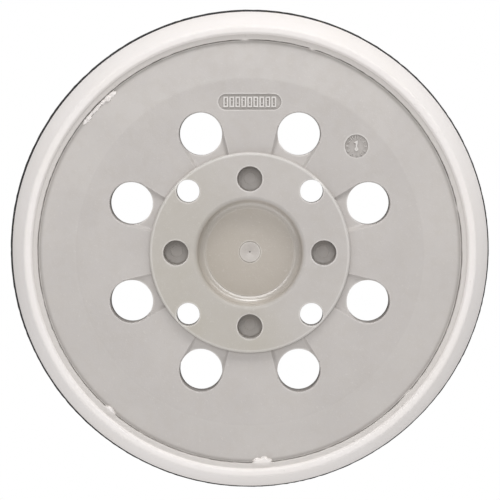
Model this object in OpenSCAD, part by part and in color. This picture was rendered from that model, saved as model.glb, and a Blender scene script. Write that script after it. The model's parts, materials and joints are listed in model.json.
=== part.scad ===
// Backing pad of a 125 mm random orbital sander, lying on its hook face with the side that
// bolts to the tool uppermost. Millimetres, +Z up, origin at the middle of the hook face.

/* [Pad] */
// Diameter over the hook facing
pad_d = 125; // [124.6:0.1:128]
// Height from the hook tips to the hub face
pad_h = 15; // [14.8:0.1:17]
// Segments of a full circle
circle_fn = 96; // [48:12:180]

/* [Hook facing] */
// Thickness of the hook cloth, from its hook tips to its back
hook_t = 2; // [1.6:0.1:2.4]
// Thickness of the adhesive film between the cloth and the foam
film_t = 0.2; // [0.1:0.05:0.3]
// Height of the foam's upright edge above the film
foam_edge_h = 0.8; // [0.4:0.1:1.2]

/* [Carrier plate] */
// Thickness of the plate
plate_t = 2.4; // [2:0.1:2.6]
// Diameter of the flat middle, outside which the plate slopes down
flat_d = 89.6; // [88:0.4:92]
// How far the plate has sloped down where the foam lip covers it
rim_drop = 0.9; // [0.7:0.05:1]
// Diameter of the plate that stays in sight inside the foam lip
seen_d = 109.4; // [109:0.2:110]
// Width of the rim that the foam lip covers
covered_w = 1.6; // [1.2:0.1:1.8]

/* [Hub] */
// Diameter of the raised hub
hub_d = 51.9; // [51.8:0.1:52.4]
// Height of the hub face above the plate
hub_rise = 1.7; // [1.4:0.1:2]
// Depth of the hub from its face to its underside
hub_depth = 8; // [7.6:0.1:8.4]
// Radius on the hub's top edge
hub_edge_r = 0.5; // [0.3:0.05:0.55]
// Diameter of the recess in the middle of the hub
recess_d = 26.8; // [26:0.1:27]
// Depth of the recess
recess_depth = 4.5; // [4:0.1:4.8]
// Radius between the recess wall and its floor
recess_fillet_r = 2.2; // [1.6:0.1:2.4]
// Radius on the recess mouth
recess_edge_r = 0.45; // [0.3:0.05:0.5]

/* [Holes] */
// Pitch circle of the dust holes
dust_pcd = 66; // [65.6:0.1:66.4]
// Diameter of the dust holes through the plate
dust_d = 11; // [10.6:0.1:11.2]
// Pitch circle of the screw holes
screw_pcd = 44.8; // [44.6:0.1:44.8]
// Diameter of the screw holes
screw_d = 5.9; // [5.5:0.1:5.9]
// Diameter of the counterbore for a screw head
head_d = 10.4; // [9.6:0.1:10.6]
// Length of the screw hole above its counterbore
screw_len = 5; // [4.6:0.1:5.4]
// Pitch circle of the locating pin sockets
pin_pcd = 38; // [37.8:0.1:38.2]
// Diameter of the pin sockets
pin_d = 6.4; // [6.2:0.1:6.5]
// Depth of the pin sockets
pin_depth = 7; // [5:0.1:7.2]

/* [Dust ramps] */
// Width of a ramp at its dust hole
ramp_out_w = 11.6; // [11.4:0.1:11.8]
// Width of a ramp at the hub
ramp_in_w = 9.2; // [8.8:0.1:9.6]
// Depth of a ramp at the hub, below the plate
ramp_in_depth = 0.5; // [0.3:0.05:0.7]
// Depth of a ramp at the middle of its dust hole, below the plate
ramp_out_depth = 1.5; // [1.2:0.05:1.7]

/* [Foam rim] */
// Height of the foam lip above the plate's edge
lip_h = 0.8; // [0.6:0.05:0.9]
// Width of the flat top of the foam lip
lip_w = 1.1; // [0.9:0.05:1.2]
// Height of the foam crest above the foam lip
crest_h = 1; // [0.8:0.05:1.1]
// Width of the foam crest
crest_w = 1.7; // [1.4:0.1:2]

/* [Mould marks] */
// Length of the marking pocket
pocket_l = 16.2; // [15:0.1:17]
// Width of the marking pocket
pocket_w = 4.1; // [3.8:0.1:4.4]
// Diameter of the date dial
dial_d = 6; // [5.6:0.1:6.4]
// Distance of both marks from the middle
mark_r = 38.7; // [38.4:0.1:39]
// Depth of both marks
mark_depth = 0.35; // [0.25:0.05:0.4]

/* [Hidden] */
$fn = circle_fn;

dust_count = 8;
screw_count = 4;
pin_count = 4;
rib_count = 8;

film_base = hook_t;
foam_base = hook_t + film_t;
foam_r = pad_d / 2 - 0.3;
plate_top = pad_h - hub_rise;
plate_base = plate_top - plate_t;
flat_r = flat_d / 2;
seen_r = seen_d / 2;
rim_r = seen_r + covered_w;
rim_slope = rim_drop / (seen_r - flat_r);
rim_fall = rim_slope * (rim_r - flat_r);

hub_r = hub_d / 2;
hub_base = pad_h - hub_depth;
recess_r = recess_d / 2;
recess_floor = pad_h - recess_depth;
gate_r = 2.75;
gate_h = 0.2;
gate_dimple_r = 0.4;

dust_r = dust_d / 2;
sleeve_wall = 1.6;
sleeve_drop = 4;
rib_w = 2.2;
rib_drop = 1.2;
foam_dust_r = dust_r + 1;
foam_screw_r = head_d / 2 + 0.8;
facing_gap = 0.2;

lip_z = plate_top - rim_drop + lip_h;
lip_out_r = seen_r + lip_w;
crest_z = lip_z + crest_h;
crest_in_r = lip_out_r + 0.5;
crest_out_r = crest_in_r + crest_w;
crest_chamfer = 0.5;
foam_core_z = plate_base + 0.7;

dial_ticks = 12;
bar_count = 9;
bar_pitch = 1.5;
past = 1;

// One copy of the children at every place of a ring of holes, the first at angle "from".
module ring(count, pcd, from = 0) {
    for (i = [0 : count - 1])
        rotate([0, 0, from + i * 360 / count]) translate([pcd / 2, 0, 0]) children();
}

module dust_places() { ring(dust_count, dust_pcd, 180 / dust_count) children(); }
module screw_places() { ring(screw_count, screw_pcd, 180 / screw_count) children(); }
module pin_places() { ring(pin_count, pin_pcd) children(); }

// The plate: flat in the middle, sloping down to the rim that the foam lip holds.
module plate_disc() {
    rotate_extrude() polygon([
        [0, plate_base],
        [flat_r, plate_base],
        [rim_r, plate_base - rim_fall],
        [rim_r, plate_top - rim_fall],
        [flat_r, plate_top],
        [0, plate_top],
    ]);
}

// The raised hub, with its top edge rounded.
module hub_disc() {
    rotate_extrude() translate([0, hub_base]) union() {
        square([hub_r - hub_edge_r, hub_depth]);
        square([hub_r, hub_depth - hub_edge_r]);
        translate([hub_r - hub_edge_r, hub_depth - hub_edge_r]) circle(hub_edge_r);
    }
}

// Sleeves around the dust holes and ribs between them, both held in the foam.
module sleeves() {
    dust_places() translate([0, 0, plate_base - sleeve_drop])
        cylinder(r = dust_r + sleeve_wall, h = sleeve_drop + plate_t / 2);
}

module ribs() {
    rib_in = hub_r - past;
    for (i = [0 : rib_count - 1])
        rotate([0, 0, i * 360 / rib_count])
            translate([rib_in, -rib_w / 2, plate_base - rib_drop])
                cube([flat_r - rib_in, rib_w, rib_drop + plate_t / 2]);
}

// The carrier before anything is cut from it, which is also the space it takes in the foam.
module carrier_form() {
    plate_disc();
    hub_disc();
    sleeves();
    ribs();
}

// The recess: a short straight wall under a rounded mouth, and a fillet down to the floor.
module recess() {
    fillet_in = recess_r - recess_fillet_r;
    rotate_extrude() {
        translate([0, recess_floor]) square([fillet_in, recess_depth + past]);
        translate([0, recess_floor + recess_fillet_r])
            square([recess_r, recess_depth + past - recess_fillet_r]);
        translate([fillet_in, recess_floor + recess_fillet_r]) circle(recess_fillet_r);
        difference() {
            translate([0, pad_h - recess_edge_r])
                square([recess_r + recess_edge_r, recess_edge_r + past]);
            translate([recess_r + recess_edge_r, pad_h - recess_edge_r]) circle(recess_edge_r);
        }
    }
}

// A sloping floor from the hub down to one dust hole, between walls that narrow to the hub.
module dust_ramp() {
    from_r = hub_r - past;
    to_r = dust_pcd / 2;
    intersection() {
        translate([0, 0, plate_base]) linear_extrude(plate_t + past) polygon([
            [from_r, -ramp_in_w / 2],
            [to_r, -ramp_out_w / 2],
            [to_r, ramp_out_w / 2],
            [from_r, ramp_in_w / 2],
        ]);
        rotate([90, 0, 0]) linear_extrude(ramp_out_w + past, center = true) polygon([
            [from_r, plate_top - ramp_in_depth],
            [to_r, plate_top - ramp_out_depth],
            [to_r, plate_top + past],
            [from_r, plate_top + past],
        ]);
    }
}

// The marking pocket, round at its ends, with plain bars standing in it.
module marking_pocket() {
    straight = pocket_l - pocket_w;
    translate([0, mark_r, plate_top - mark_depth]) difference() {
        linear_extrude(mark_depth + past) union() {
            square([straight, pocket_w], center = true);
            translate([-straight / 2, 0]) circle(pocket_w / 2);
            translate([straight / 2, 0]) circle(pocket_w / 2);
        }
        for (i = [0 : bar_count - 1])
            translate([(i - (bar_count - 1) / 2) * bar_pitch, 0, 0])
                cube([0.7, (i % 3 == 1) ? 1.4 : 2.2, mark_depth * 1.4], center = true);
    }
}

// The date dial: a shallow round recess with a ring of ticks and an arrow standing in it.
module date_dial() {
    rotate([0, 0, 45]) translate([mark_r, 0, plate_top - mark_depth]) rotate([0, 0, -45])
        difference() {
            cylinder(d = dial_d, h = mark_depth + past);
            for (i = [0 : dial_ticks - 1])
                rotate([0, 0, i * 360 / dial_ticks])
                    translate([dial_d / 2 - 0.75, 0, 0])
                        cube([0.9, 0.3, mark_depth * 1.4], center = true);
            linear_extrude(mark_depth * 0.7, center = true) polygon([
                [-0.35, -1.1],
                [0.35, -1.1],
                [0.35, 0.5],
                [0.8, 0.5],
                [0, 1.5],
                [-0.8, 0.5],
                [-0.35, 0.5],
            ]);
        }
}

module carrier_plate() color("#c2bdba") {
    difference() {
        union() {
            difference() {
                plate_disc();
                ring(dust_count, 0, 180 / dust_count) dust_ramp();
                marking_pocket();
                date_dial();
            }
            hub_disc();
            sleeves_below_ramps();
            ribs();
        }
        recess();
        dust_places() cylinder(r = dust_r, h = pad_h + past);
        screw_places() {
            cylinder(d = screw_d, h = pad_h + past);
            translate([0, 0, hub_base - past])
                cylinder(d = head_d, h = hub_depth - screw_len + past);
        }
        pin_places() translate([0, 0, pad_h - pin_depth]) cylinder(d = pin_d, h = pin_depth + past);
    }
    difference() {
        translate([0, 0, recess_floor - gate_h]) cylinder(r = gate_r, h = 2 * gate_h);
        translate([0, 0, recess_floor]) cylinder(r = gate_dimple_r, h = 2 * gate_h);
    }
}

// The sleeves stop at the underside of the ramps' deepest point.
module sleeves_below_ramps() {
    intersection() {
        sleeves();
        cylinder(r = rim_r, h = plate_top - ramp_out_depth);
    }
}

module foam_cushion() color("#e8e4e1") {
    difference() {
        rotate_extrude() polygon([
            [0, foam_base],
            [foam_r, foam_base],
            [foam_r, foam_base + foam_edge_h],
            [crest_out_r, crest_z - crest_chamfer],
            [crest_out_r - crest_chamfer, crest_z],
            [crest_in_r, crest_z],
            [lip_out_r, lip_z],
            [seen_r, lip_z],
            [seen_r, foam_core_z],
            [0, foam_core_z],
        ]);
        carrier_form();
        dust_places() cylinder(r = foam_dust_r, h = pad_h);
        screw_places() cylinder(r = foam_screw_r, h = pad_h);
    }
}

// A flat disc with the pad's openings through it.
module faced_disc(disc_r, thickness, grow) {
    difference() {
        cylinder(r = disc_r, h = thickness);
        dust_places() translate([0, 0, -past])
            cylinder(r = foam_dust_r + grow, h = thickness + 2 * past);
        screw_places() translate([0, 0, -past])
            cylinder(r = foam_screw_r + grow, h = thickness + 2 * past);
    }
}

module adhesive_film() color("#d9cfae") {
    translate([0, 0, film_base]) faced_disc(foam_r, film_t, 0);
}

module hook_facing() color("#3a3a3c") {
    faced_disc(pad_d / 2, hook_t, facing_gap);
}

carrier_plate();
foam_cushion();
adhesive_film();
hook_facing();
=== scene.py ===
# %% [markdown]
# # The backing pad of an orbital sander
# A backing pad is the round plate that the abrasive disc sticks to. It is a bonded stack: a
# moulded plastic carrier that bolts to the tool, a foam cushion moulded round it, a film of
# adhesive, and a cloth of small hooks. The packed model holds every size; this script builds the
# same four pieces again with the detail that a moulded part has, and gives them their finish.
# The frame is loaded first, and its box is printed, to set beside the finished box at the end.

# %% Load the frame
import json
import math

import bmesh
import bpy
import numpy as np
from bmesh.types import BMFace, BMVert
from mathutils import Euler, Matrix, Vector, noise


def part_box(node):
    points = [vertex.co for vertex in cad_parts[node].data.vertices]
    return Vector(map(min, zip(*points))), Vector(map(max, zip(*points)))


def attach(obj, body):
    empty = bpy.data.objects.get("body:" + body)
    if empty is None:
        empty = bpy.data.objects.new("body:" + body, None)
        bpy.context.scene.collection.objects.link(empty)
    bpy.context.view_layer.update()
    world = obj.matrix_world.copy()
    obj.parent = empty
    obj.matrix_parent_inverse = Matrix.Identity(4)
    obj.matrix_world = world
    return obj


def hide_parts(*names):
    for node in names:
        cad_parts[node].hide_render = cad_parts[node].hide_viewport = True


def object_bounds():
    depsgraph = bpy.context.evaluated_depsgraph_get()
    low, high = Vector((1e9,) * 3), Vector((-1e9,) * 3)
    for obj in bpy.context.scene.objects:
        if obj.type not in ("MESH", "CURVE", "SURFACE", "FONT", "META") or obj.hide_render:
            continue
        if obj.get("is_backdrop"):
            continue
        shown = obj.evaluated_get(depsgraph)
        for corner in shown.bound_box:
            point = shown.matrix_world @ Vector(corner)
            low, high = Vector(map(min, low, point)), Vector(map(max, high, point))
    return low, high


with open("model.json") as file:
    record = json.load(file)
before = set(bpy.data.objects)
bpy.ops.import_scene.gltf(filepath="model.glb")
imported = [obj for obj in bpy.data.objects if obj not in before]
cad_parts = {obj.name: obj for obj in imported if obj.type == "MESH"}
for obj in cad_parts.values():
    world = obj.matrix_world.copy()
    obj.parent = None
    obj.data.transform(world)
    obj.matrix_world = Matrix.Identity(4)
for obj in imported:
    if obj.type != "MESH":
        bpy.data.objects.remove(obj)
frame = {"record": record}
cad_box = [list(corner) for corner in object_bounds()]
MM = 0.001
print("CAD box in millimetres:", [[round(c / MM, 2) for c in corner] for corner in cad_box])

# %% [markdown]
# ## Sizes
# Each size comes from the packed model where the model can say it: the nodes' boxes give the
# diameters and the heights of the layers, and the record's mounts give the hole circles. The rest
# are small sizes of the mouldings, such as radii, that a box can't show. All are in millimetres.

# %% Read the sizes
def node_span(node):
    """The outer radius and the lowest and highest level of a CAD node, in millimetres."""
    low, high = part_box(node)
    return high[0] / MM, low[2] / MM, high[2] / MM


mounts = {mount["name"]: mount["dims"] for mount in frame["record"]["mounts"]}
rim_r, hub_base, hub_top = node_span("carrier_plate")
foam_r, foam_base, crest_z = node_span("foam_cushion")
film_r, film_base, film_top = node_span("adhesive_film")
cloth_r, _, cloth_top = node_span("hook_facing")

hub_rise = 1.7
plate_top = hub_top - hub_rise
plate_thick = 2.4
plate_base = plate_top - plate_thick
flat_r = 44.8
seen_r = rim_r - 1.75
rim_drop = 0.9
rim_slope = rim_drop / (seen_r - flat_r)
rebate = 0.5
lip_in_r = seen_r + 0.1
lip_out_r = lip_in_r + 1.2
lip_z = plate_top - rim_drop + 0.8
crest_in_r = lip_out_r + 0.5
crest_out_r = 58.05

screw_ring_r = mounts["screw_holes"]["pcd_mm"] / 2
screw_r = mounts["screw_holes"]["hole_r_mm"]
pin_ring_r = mounts["pin_sockets"]["pcd_mm"] / 2
pin_r = mounts["pin_sockets"]["hole_r_mm"]
pin_depth = 7.0
pin_floor = hub_top - pin_depth
dust_ring_r = 33.0
dust_r = 5.5
head_r = 5.2
head_seat_z = hub_top - 5.0
foam_dust_r = dust_r + 1.0
foam_screw_r = head_r + 0.8
cloth_gap = 0.2
print("plate top at", round(plate_top, 2), "and its rim radius", round(rim_r, 2))

# %% [markdown]
# ## Camera
# The pad is looked at almost straight down, from the side that bolts to the tool, by a long lens
# that leans a few degrees towards the top of the picture. The camera is made first, so that every
# later look is taken from the same place.

# %% Place the camera
def in_scene(name, data):
    """A new object for some data, linked into the scene."""
    made = bpy.data.objects.new(name, data)
    bpy.context.scene.collection.objects.link(made)
    return made


camera_distance = 0.600
lean_y = math.radians(3.43)
lean_x = math.radians(0.26)
target = Vector((0.0, 0.0, foam_base * MM))
back = Vector((math.tan(lean_x), math.tan(lean_y), 1.0)).normalized()
camera_data = bpy.data.cameras.new("camera")
camera_data.sensor_width = 36.0
camera_data.lens = 164.8
camera = in_scene("camera", camera_data)
camera.location = target + back * camera_distance
side = Vector((0, 1, 0)).cross(back).normalized()
up = back.cross(side)
camera.rotation_euler = Matrix((side, up, back)).transposed().to_euler()
bpy.context.scene.camera = camera
print("camera at", [round(c, 3) for c in camera.location])

# %% [markdown]
# ## Node recipes
# Every material here, and the world, is a tree of nodes. Written out call by call such a tree is
# long and hard to read, so a recipe wraps one tree: each of its calls adds a node, fills its inputs
# with values or links, and gives back the output that the next call needs. The steps and the
# blends that all finishes use have names of their own.

# %% Write node trees as recipes
class Recipe:
    """A node tree being written: each call adds one node and gives its inputs a value or a link."""

    def __init__(self, tree):
        tree.nodes.clear()
        self.tree = tree

    def give(self, socket, value):
        if isinstance(value, bpy.types.NodeSocket):
            self.tree.links.new(value, socket)
        else:
            socket.default_value = value

    def node(self, kind, inputs=(), **settings):
        made = self.tree.nodes.new(kind)
        for key, value in settings.items():
            setattr(made, key, value)
        for key, value in dict(inputs).items():
            self.give(made.inputs[key], value)
        return made

    def math(self, operation, *values):
        made = self.tree.nodes.new("ShaderNodeMath")
        made.operation = operation
        for socket, value in zip(made.inputs, values):
            self.give(socket, value)
        return made.outputs[0]

    def times(self, first, *others):
        """Values multiplied together."""
        for value in others:
            first = self.math("MULTIPLY", first, value)
        return first

    def ramp(self, value, low, high, to_low=0.0, to_high=1.0):
        """A smooth step from to_low, where value is low, to to_high, where it is high."""
        inputs = {
            "Value": value, "From Min": low, "From Max": high, "To Min": to_low, "To Max": to_high,
        }
        return self.node("ShaderNodeMapRange", inputs, interpolation_type="SMOOTHSTEP").outputs[0]

    def fade(self, value, low, high):
        """A smooth step down, from 1 where value is low to 0 where it is high."""
        return self.ramp(value, low, high, 1.0, 0.0)

    def noise(self, place, scale, **inputs):
        """A cloudy noise from 0 to 1."""
        inputs.update(Vector=place, Scale=scale)
        return self.node("ShaderNodeTexNoise", inputs).outputs[0]

    def blend(self, share, first, second):
        """Two colours mixed by a share from 0 to 1."""
        made = self.node("ShaderNodeMix", data_type="RGBA")
        for index, value in ((0, share), (6, first), (7, second)):
            self.give(made.inputs[index], value)
        return made.outputs[2]

    def layered(self, colour, *coats):
        """A colour with coats of others laid over it: each has a mask, a strength and a colour."""
        for mask, strength, paint in coats:
            colour = self.blend(self.times(mask, strength), colour, paint)
        return colour

    def white_light(self, kind, output, strength):
        """Plain white to the camera, and white light of another strength to all it falls on."""
        white = (1.0, 1.0, 1.0, 1.0)
        seen = self.node(kind, {"Color": white})
        cast = self.node(kind, {"Color": white, "Strength": strength})
        to_camera = self.node("ShaderNodeLightPath").outputs["Is Camera Ray"]
        mix = self.node("ShaderNodeMixShader", {0: to_camera, 1: cast.outputs[0], 2: seen.outputs[0]})
        self.node(output, {"Surface": mix.outputs[0]})


print("a recipe can:", [call for call in vars(Recipe) if not call.startswith("_")])

# %% [markdown]
# ## Floor and light
# The pad lies on a pale, evenly lit table, as for a catalogue picture, so the table shines white
# through the holes. The table gives the camera its full white, but what it casts on the pad fades
# out under the pad, where a real table lies in shade. A long low strip light at the far side
# grazes the pad and brings out its relief. A small softbox beside it, the key light, puts a clear
# gleam in the rounded recess. A weaker, wide light stands at the near side, and a softbox hangs
# above. The world is a plain grey that fills the shadows.

# %% Floor, world and lights
table_radius = 6.0
table_glow = 0.92
shade_glow = 0.1
sky_glow = 0.38
bm = bmesh.new()
bmesh.ops.create_circle(bm, cap_ends=True, radius=table_radius, segments=64)
table_mesh = bpy.data.meshes.new("table")
bm.to_mesh(table_mesh)
bm.free()
table = in_scene("table", table_mesh)
table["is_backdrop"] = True

table_white = bpy.data.materials.new("table_white")
table_white.use_nodes = True
recipe = Recipe(table_white.node_tree)
place = recipe.node("ShaderNodeTexCoord").outputs["Object"]
distance = recipe.node("ShaderNodeVectorMath", {0: place}, operation="LENGTH").outputs["Value"]
shade_in, shade_out = foam_r * MM * 0.9, foam_r * MM * 1.25
under_pad = recipe.ramp(distance, shade_in, shade_out, shade_glow, table_glow)
recipe.white_light("ShaderNodeEmission", "ShaderNodeOutputMaterial", under_pad)
table.data.materials.append(table_white)

world = bpy.data.worlds.new("studio")
bpy.context.scene.world = world
world.use_nodes = True
Recipe(world.node_tree).white_light("ShaderNodeBackground", "ShaderNodeOutputWorld", sky_glow)


def soft_light(name, place, wide, high, watts):
    """A soft rectangular light at place, facing the middle of the pad."""
    data = bpy.data.lights.new(name, "AREA")
    data.shape = "RECTANGLE"
    data.size = wide
    data.size_y = high
    data.energy = watts
    light = in_scene(name, data)
    light.location = place
    light.rotation_euler = Vector(place).to_track_quat("Z", "Y").to_euler()


soft_light("far_strip", (0.34, 1.16, 0.56), 1.8, 0.42, 6.9)
soft_light("key_softbox", (0.0, 0.90, 0.55), 0.34, 0.34, 2.1)
soft_light("near_strip", (-0.12, -0.60, 0.40), 1.6, 0.5, 2.35)
soft_light("top_softbox", (0.0, 0.28, 1.14), 0.5, 0.5, 3.6)
bpy.context.scene.view_settings.view_transform = "Standard"

# %% [markdown]
# ## Turned shapes and cuts
# Nearly everything on the pad is round, so one helper turns an outline about the vertical axis. An
# outline is a few corners, and each corner may be given a radius, which a vertex bevel puts in
# before the spin. Holes are turned tools too, and a boolean takes them out of the piece. That is
# how a mould maker thinks, and it keeps every hole truly round with its own rounded mouth.

# %% Turn an outline into a shape
def finished(name, bm):
    """Turn a bmesh, made in millimetres, into an object in metres with faces that point outwards."""
    bmesh.ops.remove_doubles(bm, verts=bm.verts, dist=1e-5)
    bmesh.ops.recalc_face_normals(bm, faces=bm.faces)
    bmesh.ops.scale(bm, vec=(MM, MM, MM), verts=bm.verts)
    mesh = bpy.data.meshes.new(name)
    bm.to_mesh(mesh)
    bm.free()
    return in_scene(name, mesh)


def only(kind, items):
    """The items of one kind among a bmesh's vertices, edges and faces."""
    return [item for item in items if isinstance(item, kind)]


def everything(bm):
    return bm.verts[:] + bm.edges[:] + bm.faces[:]


def rounded(bm, items, offset, segments, affect="EDGES"):
    """Round edges, or the corners of an outline, with a bevel."""
    bmesh.ops.bevel(
        bm, geom=items, affect=affect, offset=offset, segments=segments, profile=0.5, material=-1,
    )


def spun(bm, verts, angle):
    """Turn vertices about the vertical axis."""
    bmesh.ops.rotate(bm, verts=verts, cent=(0, 0, 0), matrix=Matrix.Rotation(angle, 3, "Z"))


def turned_bmesh(corners, steps, places=((0.0, 0.0),)):
    """Spin an outline of (radius, height, rounding) corners, once at each (x, y) place."""
    bm = bmesh.new()
    verts = [bm.verts.new((corner[0], 0.0, corner[1])) for corner in corners]
    on_axis = abs(corners[0][0]) < 1e-9 and abs(corners[-1][0]) < 1e-9
    pairs = list(zip(verts, verts[1:])) + ([] if on_axis else [(verts[-1], verts[0])])
    for a, b in pairs:
        bm.edges.new((a, b))
    for vert, corner in zip(verts, corners):
        if len(corner) > 2 and corner[2] > 0:
            rounded(bm, [vert], corner[2], max(2, min(9, round(corner[2] / 0.08))), "VERTICES")
    bmesh.ops.spin(
        bm, geom=bm.verts[:] + bm.edges[:], cent=(0, 0, 0), axis=(0, 0, 1),
        angle=2 * math.pi, steps=steps, use_merge=True,
    )
    bmesh.ops.remove_doubles(bm, verts=bm.verts, dist=1e-5)
    first = everything(bm)
    for x, y in places[1:]:
        copy = bmesh.ops.duplicate(bm, geom=first)["geom"]
        bmesh.ops.translate(bm, vec=(x, y, 0), verts=only(BMVert, copy))
    bmesh.ops.translate(bm, vec=(*places[0], 0), verts=only(BMVert, first))
    return bm


def turned(name, corners, steps, places=((0.0, 0.0),)):
    return finished(name, turned_bmesh(corners, steps, places))


print("the plate alone is", round(rim_r, 2), "mm in radius and", plate_thick, "mm thick")

# %% [markdown]
# A boolean only works on closed solids, so both are tested first, and the result is baked into the
# piece at once. The manifold solver is quick and exact on closed solids, which suits a piece that
# is cut dozens of times. The holes of the pad sit on three rings.

# %% Cut and join, and place the rings of holes
def open_edges(piece):
    """How many edges of a piece don't have exactly two faces."""
    bm = bmesh.new()
    bm.from_mesh(piece.data)
    count = sum(1 for edge in bm.edges if not edge.is_manifold)
    bm.free()
    return count


def baked_mesh(holder):
    """The mesh that an object has once its modifiers are applied."""
    view = bpy.context.evaluated_depsgraph_get()
    return bpy.data.meshes.new_from_object(holder.evaluated_get(view))


def bake(piece):
    """Apply a piece's modifiers."""
    mesh = baked_mesh(piece)
    piece.modifiers.clear()
    old, piece.data = piece.data, mesh
    bpy.data.meshes.remove(old)
    mesh.name = piece.name


def combine(piece, tool, operation="DIFFERENCE"):
    """Cut the tool out of the piece, or join it on, and throw the tool away."""
    for solid in (piece, tool):
        if open_edges(solid):
            raise RuntimeError(f"{solid.name} isn't closed, so it can't be combined")
    step = piece.modifiers.new(operation, "BOOLEAN")
    step.operation = operation
    step.solver = "MANIFOLD"
    step.object = tool
    bake(piece)
    bpy.data.meshes.remove(tool.data)


def tell(piece):
    """Print how many triangles a piece has and whether it is closed."""
    triangles = sum(len(face.vertices) - 2 for face in piece.data.polygons)
    print(piece.name, "has", triangles, "triangles and", open_edges(piece), "open edges")


def on_ring(radius, count, first_degrees=0.0):
    """The (x, y) places of a ring of holes."""
    angles = [math.radians(first_degrees + i * 360 / count) for i in range(count)]
    return [(radius * math.cos(a), radius * math.sin(a)) for a in angles]


dust_turn = 22.5
dust_places = on_ring(dust_ring_r, 8, dust_turn)
screw_places = on_ring(screw_ring_r, 4, 45.0)
pin_places = on_ring(pin_ring_r, 4)
print("dust holes at", [(round(x, 1), round(y, 1)) for x, y in dust_places])

# %% [markdown]
# ## Carrier plate: the disc and its ramps
# The carrier is one injection moulding. It starts as a turned disc, flat in the middle and sloping
# down outside a soft crease. Eight ramps are sunk into it, one before each dust hole, to lead the
# dust in under the hub. A ramp is a box whose floor slopes and whose walls close in towards the
# hub, so its tool is a cube with its eight corners moved, and bevelled along the foot of its walls.

# %% Turn the disc and sink the ramps
hub_r = 25.95
turn_steps = 240


def slope_down(r):
    """How far the plate has sloped down at a radius."""
    return rim_slope * max(0.0, r - flat_r)


plate_outline = [
    (0.0, plate_base),
    (flat_r, plate_base, 0.6),
    (rim_r, plate_base - slope_down(rim_r), 0.3),
    (rim_r, plate_top - slope_down(rim_r) - rebate, 0.3),
    (seen_r, plate_top - slope_down(seen_r) - rebate, 0.05),
    (seen_r, plate_top - slope_down(seen_r), 0.12),
    (flat_r, plate_top, 0.65),
    (0.0, plate_top),
]

hub_overlap = 1.0
ramp_inner = {"x": hub_r - hub_overlap, "half_width": 4.55, "draft": 0.60, "depth": 0.5}
ramp_outer = {"x": dust_ring_r, "half_width": 5.8, "draft": 0.95, "depth": 1.5}
ramp_foot_round = 0.35
ramp_edge_round = 0.12


def ramp_bmesh():
    """One ramp's tool, on the +X side. Its lid is drawn up and out past the plate in three steps."""
    bm = bmesh.new()
    bmesh.ops.create_cube(bm, size=2.0)
    for vert in bm.verts:
        end = ramp_outer if vert.co.x > 0 else ramp_inner
        half, z = end["half_width"], plate_top
        if vert.co.z < 0:
            half, z = half - end["draft"], z - end["depth"]
        vert.co = (end["x"], math.copysign(half, vert.co.y), z)
    feet = [
        edge for edge in bm.edges
        if all(vert.co.z < plate_top - 0.1 for vert in edge.verts)
        and abs(edge.verts[0].co.x - edge.verts[1].co.x) > 1.0
    ]
    rounded(bm, feet, ramp_foot_round, 4)
    lid = [face for face in bm.faces if all(vert.co.z > plate_top - 1e-6 for vert in face.verts)]
    bmesh.ops.translate(bm, vec=(0, 0, -ramp_edge_round), verts=list(lid[0].verts))
    for lift, spread in ((ramp_edge_round, ramp_edge_round), (0.03, 0.10), (1.0, 0.0)):
        drawn = bmesh.ops.extrude_face_region(bm, geom=lid)["geom"]
        bmesh.ops.delete(bm, geom=lid, context="FACES_ONLY")
        lid = only(BMFace, drawn)
        for vert in only(BMVert, drawn):
            vert.co.z += lift
            vert.co.y += math.copysign(spread, vert.co.y)
    return bm


def ring_of(bm, count, first_degrees):
    """Turn a bmesh into a ring of copies of itself about the vertical axis."""
    first = everything(bm)
    spun(bm, bm.verts, math.radians(first_degrees))
    for i in range(1, count):
        copy = bmesh.ops.duplicate(bm, geom=first)["geom"]
        spun(bm, only(BMVert, copy), i * 2 * math.pi / count)
    return bm


carrier = turned("carrier_moulding", plate_outline, turn_steps)
combine(carrier, finished("ramps", ring_of(ramp_bmesh(), 8, dust_turn)))
tell(carrier)

# %% [markdown]
# ## Carrier plate: hub, sleeves and ribs
# The hub is a thick boss that stands proud of the plate, with a soft top edge and a little draft on
# its side. Sleeves round the dust holes and ribs between them key the plate into the foam, where
# nobody sees them. All are joined on, and the sleeves stop below the ramps.

# %% Join the hub, the sleeves and the ribs
def bore_outline(radius, low, high):
    """The outline of a plain bore or post."""
    return [(0, low), (radius, low), (radius, high), (0, high)]


def block_bmesh(length, width, low, high):
    """A plain block, centred on the axis."""
    bm = bmesh.new()
    bmesh.ops.create_cube(bm, size=1.0)
    bmesh.ops.scale(bm, vec=(length, width, high - low), verts=bm.verts)
    bmesh.ops.translate(bm, vec=(0, 0, (high + low) / 2), verts=bm.verts)
    return bm


def moved(bm, x, y, turn=0.0):
    """Turn a bmesh about the vertical axis, then move it."""
    spun(bm, bm.verts, turn)
    bmesh.ops.translate(bm, vec=(x, y, 0), verts=bm.verts)
    return bm


hub_face_r = hub_r - 0.2
hub_outline = [
    (0.0, hub_base),
    (hub_r, hub_base, 0.4),
    (hub_r, plate_base),
    (hub_face_r, hub_top, 0.65),
    (0.0, hub_top),
]
sleeve_wall = 1.6
sleeve_outline = bore_outline(dust_r + sleeve_wall, plate_base - 4.0, plate_top - 1.55)
rib_width = 2.2
rib_half_height = 1.2


def rib_bmesh():
    """One rib's solid, on the +X side, from inside the hub to the crease."""
    length = flat_r - (hub_r - hub_overlap)
    low, high = plate_base - rib_half_height, plate_base + rib_half_height
    return moved(block_bmesh(length, rib_width, low, high), flat_r - length / 2, 0)


for part in (
    turned("hub", hub_outline, turn_steps),
    turned("sleeves", sleeve_outline, 48, dust_places),
    finished("ribs", ring_of(rib_bmesh(), 8, 0.0)),
):
    combine(carrier, part, "UNION")
tell(carrier)

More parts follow.
